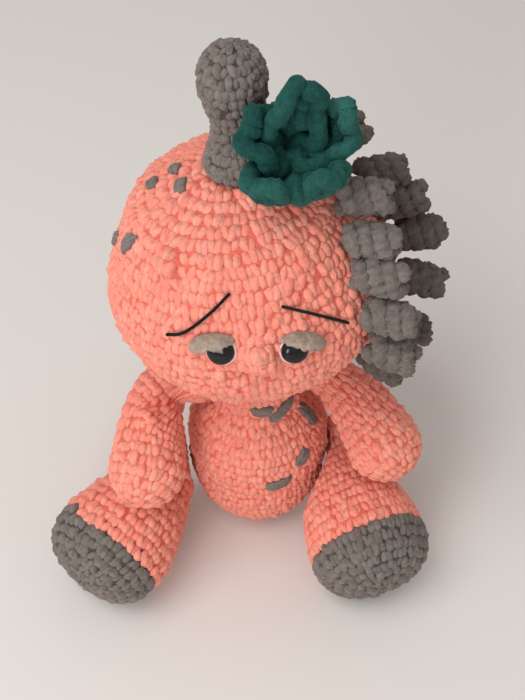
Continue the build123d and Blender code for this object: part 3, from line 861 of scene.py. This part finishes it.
def islands(node):
    """The corners of each separate solid of a node."""
    mesh = frame["nodes"][node].data
    group = list(range(len(mesh.vertices)))

    def lead(corner):
        while group[corner] != corner:
            group[corner] = group[group[corner]]
            corner = group[corner]
        return corner

    corners = np.array([vertex.co for vertex in mesh.vertices])
    merged = {}
    for corner, key in enumerate(map(tuple, np.round(corners, 6))):
        group[corner] = merged.setdefault(key, corner)
    for edge in mesh.edges:
        a, b = lead(edge.vertices[0]), lead(edge.vertices[1])
        group[a] = b
    leads = np.array([lead(corner) for corner in range(len(corners))])
    return [corners[leads == one] for one in np.unique(leads)]


def long_axis(corners):
    """The middle of a solid, its three directions from the longest on, and its half length."""
    loose = corners - corners.mean(axis=0)
    _, _, axes = np.linalg.svd(loose, full_matrices=False)
    run = loose @ axes[0]
    centre = corners.mean(axis=0) + axes[0] * (run.max() + run.min()) / 2
    return centre, axes, (run.max() - run.min()) / 2


def satin_spots(name, node, tree, body):
    """Short strands along each spot, pressed on the fabric below and tucked in at both ends."""
    rounded = np.linspace(SPOT_ROUNDING, 1 - SPOT_ROUNDING, SPOT_STEPS)
    thickness = SPOT_STRAND * np.sin(pi * rounded) ** SPOT_BLUNTNESS
    lines, radii = [], []
    for corners in islands(node):
        centre, axes, reach = long_axis(corners)
        for row in (-1, 0, 1):
            share = SPOT_REACH - SPOT_SHORTENING * abs(row)
            beside = axes[1] * row * SPOT_STRAND * SPOT_ROW_GAP
            line = []
            for step in np.linspace(-1, 1, SPOT_STEPS):
                wanted = Vector(centre + axes[0] * step * reach * share + beside)
                place, out, _, _ = tree.find_nearest(wanted)
                out = out if (wanted - place).dot(out) > 0 else -out
                line.append(place + out * (SPOT_LIFT - SPOT_TUCK * step**4))
            lines.append(line)
            radii.append(thickness)
    piece = ropes(name, lines, radii, grey_yarn, lumps=0.05)
    fasten(piece, body, "grey_chenille", node)


satin_spots("forehead_spots", "head_spots", head_tree, "head")
satin_spots("belly_spots", "body_spots", solid_tree("body_shell"), "torso")

# ---- Horn ----
# A grey horn worked upwards in rounds, with a narrow waist and a fuller tip, stuffed firmly and
# sewn to the crown.

HORN_TIP_RADIUS = 0.0165
HORN_FOOT = 0.022  # at the head's end, over which it has no stitches
HORN_LEAN = Vector((-0.07, 0, 1))
HORN_STITCH_WIDTH = 0.0066
HORN_ROW_HEIGHT = 0.0060
HORN_FILL = 0.9
# the grey linings' colours: painted shade in the gaps between the grey stitches
GREY_GAP_SHADE = (0.11, 0.095, 0.085)
GREY_SHADE = (0.08, 0.07, 0.06)

horn_low, horn_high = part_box("horn_shell")
horn_middle = (horn_low + horn_high) / 2
horn_half = (horn_high.z - horn_low.z) / 2
horn_skin = Skin(
    solid_tree("horn_shell"),
    [
        horn_middle - HORN_LEAN * (horn_half - HORN_FOOT),
        horn_middle + HORN_LEAN * (horn_half - HORN_TIP_RADIUS),
    ],
    around=72,
    fan_radius=HORN_TIP_RADIUS,
)
horn_yarn = crochet(
    "horn_yarn",
    horn_skin,
    grey_yarn,
    first=HORN_FOOT,
    width=HORN_STITCH_WIDTH,
    height=HORN_ROW_HEIGHT,
)
dress(horn_yarn, "head", "grey_chenille", "horn_shell", fill=HORN_FILL)
grey_gap_shade = chenille("grey_gap_shade", GREY_GAP_SHADE, GREY_GAP_SHADE, GREY_SHADE, pile=0.5)
horn_lining = lining("horn_lining", horn_skin, grey_gap_shade)
dress(horn_lining, "head", "grey_chenille", "horn_filling", fill=HORN_FILL)

# ---- Flower ----
# A ruffled flower of thick green chenille: cupped petals, each crocheted round and round from
# its middle, sewn on beside the horn.

FLOWER_PLACE = (60, 68)  # bearing and height on the head, in degrees
FLOWER_RISE = 0.024
FLOWER_TURN = radians(33)
FLOWER_FACE = Vector((0.2, -0.4, 0.9)).normalized()
PETAL_TILTS = (48, 78, 55, 30, 38)  # degrees that each petal is turned up
PETAL_STRETCHES = (1.5, 1.8, 1.3, 1.2, 1.2)
PETAL_RINGS = (  # each round's size, height against the petal's edge, and yarn
    (0.0115, 0.0, 0.0044),
    (0.0052, -0.0060, 0.0048),
    (0.0014, -0.0095, 0.0045),
)
PETAL_SIZE = PETAL_RINGS[0][0]
PETAL_FOOT = 0.004  # from the flower's middle
PETAL_STEPS = 60
PETAL_WAVE = 0.0036
PETAL_FRILL = 0.12
PETAL_FOLDS = 2  # broad waves round its edge
PETAL_RUFFLES = 5  # fine waves round its edge
RUFFLE_SHARE = 0.6  # of a broad wave's height
PETAL_KNOT = 0.0058  # length of a stitch round the petal
FEWEST_KNOTS = 3
YARN_SWELL = 0.12  # by which the yarn is thicker in the middle of a stitch
STEM_RADIUS = 0.0065
STEM_YARN = 0.0042
STEM_STRANDS = 7
STEM_REACH = 0.8  # of the way from the head to the flower's middle
GREEN = (0.008, 0.060, 0.051)
GREEN_LIGHT = (0.04, 0.17, 0.14)
# painted shade in the folds of the green yarn
GREEN_CREVICE_SHADE = (0.004, 0.028, 0.026)

green_yarn = chenille("green_yarn", GREEN, GREEN_LIGHT, GREEN_CREVICE_SHADE, pile=0.6, sheen=0.4)

flower_root, _ = on_head(*FLOWER_PLACE)
flower_heart = flower_root + FLOWER_FACE * FLOWER_RISE
flower_side = Vector((0.9, 0, -0.2)).normalized()
flower_up = FLOWER_FACE.cross(flower_side)


def petal_lines(bearing, tilt, stretch):
    """The rounds of yarn of one petal, from its ruffled edge to its middle."""
    out = flower_side * cos(bearing) + flower_up * sin(bearing)
    across = FLOWER_FACE.cross(out)
    tip = out * cos(tilt) + FLOWER_FACE * sin(tilt)
    face = FLOWER_FACE * cos(tilt) - out * sin(tilt)
    centre = flower_heart + out * PETAL_FOOT + tip * PETAL_SIZE * stretch
    ruffle = tau * dice.random()
    lines = []
    for size, height, _ in PETAL_RINGS:
        line = []
        for turn in np.linspace(0, tau, PETAL_STEPS):
            folds = sin(PETAL_FOLDS * turn + ruffle)
            wave = folds + RUFFLE_SHARE * sin(PETAL_RUFFLES * turn + 2 * ruffle)
            rise = height + PETAL_WAVE * wave * size / PETAL_SIZE
            wide = size * (1 + PETAL_FRILL * sin(PETAL_RUFFLES * turn + ruffle))
            outwards = tip * wide * stretch * cos(turn)
            line.append(centre + outwards + across * wide * sin(turn) + face * rise)
        lines.append(line)
    return lines


def petal_yarn(size, yarn):
    """The thickness along one round of a petal, fuller in the middle of each stitch."""
    knots = max(FEWEST_KNOTS, round(tau * size / PETAL_KNOT))
    return yarn * (1 + YARN_SWELL * np.sin(np.linspace(0, tau * knots, PETAL_STEPS)))


lines, radii = [], []
for petal, (tilt, stretch) in enumerate(zip(PETAL_TILTS, PETAL_STRETCHES)):
    bearing = FLOWER_TURN + tau * petal / len(PETAL_TILTS)
    lines += petal_lines(bearing, radians(tilt), stretch)
    radii += [petal_yarn(size, yarn) for size, _, yarn in PETAL_RINGS]
for turn in np.linspace(0, tau, STEM_STRANDS, endpoint=False):
    beside = (flower_side * cos(turn) + flower_up * sin(turn)) * STEM_RADIUS
    shares = np.linspace(0, STEM_REACH, PETAL_STEPS)
    lines.append([flower_root.lerp(flower_heart, share) + beside for share in shares])
    radii.append(np.full(PETAL_STEPS, STEM_YARN))
flower_yarn = ropes("flower_yarn", lines, radii, green_yarn, sides=14, lumps=0.07)
fasten(flower_yarn, "head", "green_chenille", "flower")

# ---- Mane ----
# Two rows of grey corkscrew curls.  Each is a strip crocheted with extra stitches in every loop,
# so that its two edges twist round each other.

CURL_TURNS = 1.7
CURL_YARN = 0.0049
CURL_REACH = 0.0052  # from the curl's middle to the middle of each edge
CURL_NARROWING = 0.12  # of that reach, towards the tip
CURL_INSET = 0.7  # of the yarn's radius, by which its line stops short of the curl's ends
CURL_END = 0.015  # of its length, nearer to whose ends the yarn gets no thinner
CURL_BLUNTNESS = 0.12
CURL_STEPS = 80
CURL_KNOTS = 16  # stitches along the strip
DARK_GREY = (0.115, 0.095, 0.085)
DARK_GREY_LIGHT = (0.18, 0.155, 0.14)
# painted shade in the folds of the dark grey yarn
DARK_GREY_CREVICE_SHADE = (0.035, 0.03, 0.027)

dark_yarn = chenille("dark_yarn", DARK_GREY, DARK_GREY_LIGHT, DARK_GREY_CREVICE_SHADE, pile=0.5)
curl_shares = np.linspace(0, 1, CURL_STEPS)
curl_yarn = CURL_YARN * (1 + YARN_SWELL * np.sin(curl_shares * tau * CURL_KNOTS))
curl_yarn *= np.sin(pi * np.clip(curl_shares, CURL_END, 1 - CURL_END)) ** CURL_BLUNTNESS

for node in sorted(name for name in frame["nodes"] if name.startswith("curl_")):
    corners = np.array([vertex.co for vertex in frame["nodes"][node].data.vertices])
    centre, axes, reach = long_axis(corners)
    heading = Vector(axes[0])
    if heading.dot(Vector(centre) - head_middle) < 0:
        heading = -heading
    side = heading.orthogonal().normalized()
    other = heading.cross(side)
    start = tau * dice.random()
    lines = []
    for fold in (0, pi):
        line = []
        for share in curl_shares:
            turn = start + fold + tau * CURL_TURNS * share
            hold = CURL_REACH * (1 - CURL_NARROWING * share)
            along = (2 * share - 1) * (reach - CURL_YARN * CURL_INSET)
            beside = (side * cos(turn) + other * sin(turn)) * hold
            line.append(Vector(centre) + heading * along + beside)
        lines.append(line)
    yarn = grey_yarn if "front" in node else dark_yarn
    name = node.replace("curl", "corkscrew")
    curl = ropes(name, lines, [curl_yarn] * 2, yarn, sides=16, lumps=0.1)
    fasten(curl, "head", "grey_chenille", node)

# ---- Arms ----
# Bent arms in coral yarn, lightly stuffed, with a small ball of stitches for each thumb.  A
# thread through the body holds each at the shoulder.

HAND_START = 0.62  # of the way from the shoulder to the fingertips

for name in ("left", "right"):
    shoulder = joint_place(f"arm_{name}_swing")
    node = f"arm_shell_{name}"
    corners = [vertex.co for vertex in frame["nodes"][node].data.vertices]
    far = max((corner - shoulder).length for corner in corners)
    hand = [corner for corner in corners if (corner - shoulder).length > HAND_START * far]
    hand_middle = sum(hand, Vector()) / len(hand)
    elbow = corner_mean(f"arm_filling_{name}")
    arm_skin = Skin(solid_tree(node), [shoulder, elbow, hand_middle], around=72, fan_radius=0.02)
    arm_yarn = crochet(f"arm_yarn_{name}", arm_skin, coral_yarn)
    dress(arm_yarn, f"arm_{name}", "coral_chenille", node)
    arm_lining = lining(f"arm_lining_{name}", arm_skin, coral_gap_shade)
    dress(arm_lining, f"arm_{name}", "coral_chenille", f"arm_filling_{name}")

# ---- Legs and toe caps ----
# Legs that widen to big feet.  The yarn changes to grey at the edge of each domed sole, and the
# spiral runs on to the middle of the sole.

LEG_LENGTH = 0.076  # from the hip to the edge of the sole
LEG_START = 0.006  # from the hip to the middle of the leg's rounded end
HIP_WIDTH = 0.027
HIP_CLEARANCE = 0.0028  # by which the stitches at the hip lie lower, to pass the body's

for name in ("left", "right"):
    hip = joint_place(f"leg_{name}_swing")
    heading = (corner_mean(f"toe_cap_{name}") - hip).normalized()
    sole_edge = hip + heading * LEG_LENGTH
    leg_skin = Skin(
        solid_tree(f"leg_shell_{name}", f"toe_cap_{name}"),
        [hip + heading * LEG_START, sole_edge],
    )
    leg_skin.bulge(hip, HIP_WIDTH, -HIP_CLEARANCE)

    def beyond_edge(places):
        return (places - np.array(sole_edge)) @ np.array(heading) > 0

    def before_edge(places):
        return ~beyond_edge(places)

    leg_yarn = crochet(f"leg_yarn_{name}", leg_skin, coral_yarn, keep=before_edge)
    dress(leg_yarn, f"leg_{name}", "coral_chenille", f"leg_shell_{name}")
    toe_yarn = crochet(f"toe_yarn_{name}", leg_skin, grey_yarn, keep=beyond_edge)
    dress(toe_yarn, f"leg_{name}", "grey_chenille", f"toe_cap_{name}")
    beyond = beyond_edge(leg_skin.points.mean(axis=1))
    edge = np.argmax(beyond) / leg_skin.rings
    leg_lining = lining(f"leg_lining_{name}", leg_skin, coral_gap_shade, last=edge)
    dress(leg_lining, f"leg_{name}", "coral_chenille", f"leg_filling_{name}")
    toe_lining = lining(f"toe_lining_{name}", leg_skin, grey_gap_shade, first=edge)
    dress(toe_lining, f"leg_{name}", "grey_chenille")

# ---- Tail ----
# A short cone in coral yarn, worked in one spiral from its foot to its tip, stuffed, and sewn
# low on the back.

TAIL_HEADING = Vector((-0.135, 0.961, -0.242))
TAIL_BEFORE = 0.008  # from its middle towards the body
TAIL_BEYOND = 0.014  # from its middle towards the tip
TAIL_FOOT = 0.012  # at the body's end, over which it has no stitches

tail_middle = middle("tail_filling")
tail_skin = Skin(
    solid_tree("tail_shell"),
    [tail_middle - TAIL_HEADING * TAIL_BEFORE, tail_middle + TAIL_HEADING * TAIL_BEYOND],
    around=60,
    fan_radius=0.012,
)
tail_yarn = crochet("tail_yarn", tail_skin, coral_yarn, first=TAIL_FOOT)
dress(tail_yarn, "torso", "coral_chenille", "tail_shell")
tail_lining = lining("tail_lining", tail_skin, coral_gap_shade)
dress(tail_lining, "torso", "coral_chenille", "tail_filling")

# ---- Floor, lamps and camera ----
# A plain pale studio: one broad lamp above, to the left and a little in front, and a weaker one
# low in front.  The camera looks down at the toy as someone who stands before it does.

FLOOR_COLOUR = (0.66, 0.63, 0.60)
FLOOR_REACH = 4
LAMP_AIM = Vector((0, 0, 0.12))

square = ((-1, -1), (1, -1), (1, 1), (-1, 1))
floor_corners = [(x * FLOOR_REACH, y * FLOOR_REACH, 0) for x, y in square]
floor_mesh = bpy.data.meshes.new("floor")
floor_mesh.from_pydata(floor_corners, [], [(0, 1, 2, 3)])
floor_paint = bpy.data.materials.new("floor_paint")
floor_paint.use_nodes = True
floor_shader = floor_paint.node_tree.nodes["Principled BSDF"]
floor_shader.inputs["Base Color"].default_value = (*FLOOR_COLOUR, 1)
floor_shader.inputs["Roughness"].default_value = 0.9
floor_mesh.materials.append(floor_paint)
floor = bpy.data.objects.new("floor", floor_mesh)
bpy.context.scene.collection.objects.link(floor)


def lamp(name, place, size, power):
    light = bpy.data.lights.new(name, "AREA")
    light.size = size
    light.energy = power
    holder = bpy.data.objects.new(name, light)
    holder.location = place
    holder.rotation_euler = (LAMP_AIM - Vector(place)).to_track_quat("-Z", "Y").to_euler()
    bpy.context.scene.collection.objects.link(holder)


lamp("broad_lamp", (-0.6, -0.5, 1.5), size=1.0, power=14)
lamp("front_lamp", (-0.5, -1.3, 0.5), size=0.5, power=8)

world = bpy.data.worlds.new("studio")
world.use_nodes = True
sky = world.node_tree.nodes["Background"]
sky.inputs["Color"].default_value = (1.0, 0.98, 0.96, 1)
sky.inputs["Strength"].default_value = 0.6
bpy.context.scene.world = world
bpy.context.scene.view_settings.view_transform = "Standard"

CAMERA_AIM = Vector((0.003, 0, 0.142))
CAMERA_DISTANCE = 0.656
CAMERA_RISE = radians(50)
FOCAL_LENGTH = 59.1

camera_data = bpy.data.cameras.new("camera")
camera_data.lens = FOCAL_LENGTH
camera = bpy.data.objects.new("camera", camera_data)
back = Vector((0, -cos(CAMERA_RISE), sin(CAMERA_RISE)))
camera.location = CAMERA_AIM + back * CAMERA_DISTANCE
camera.rotation_euler = (-back).to_track_quat("-Z", "Y").to_euler()
bpy.context.scene.collection.objects.link(camera)
bpy.context.scene.camera = camera
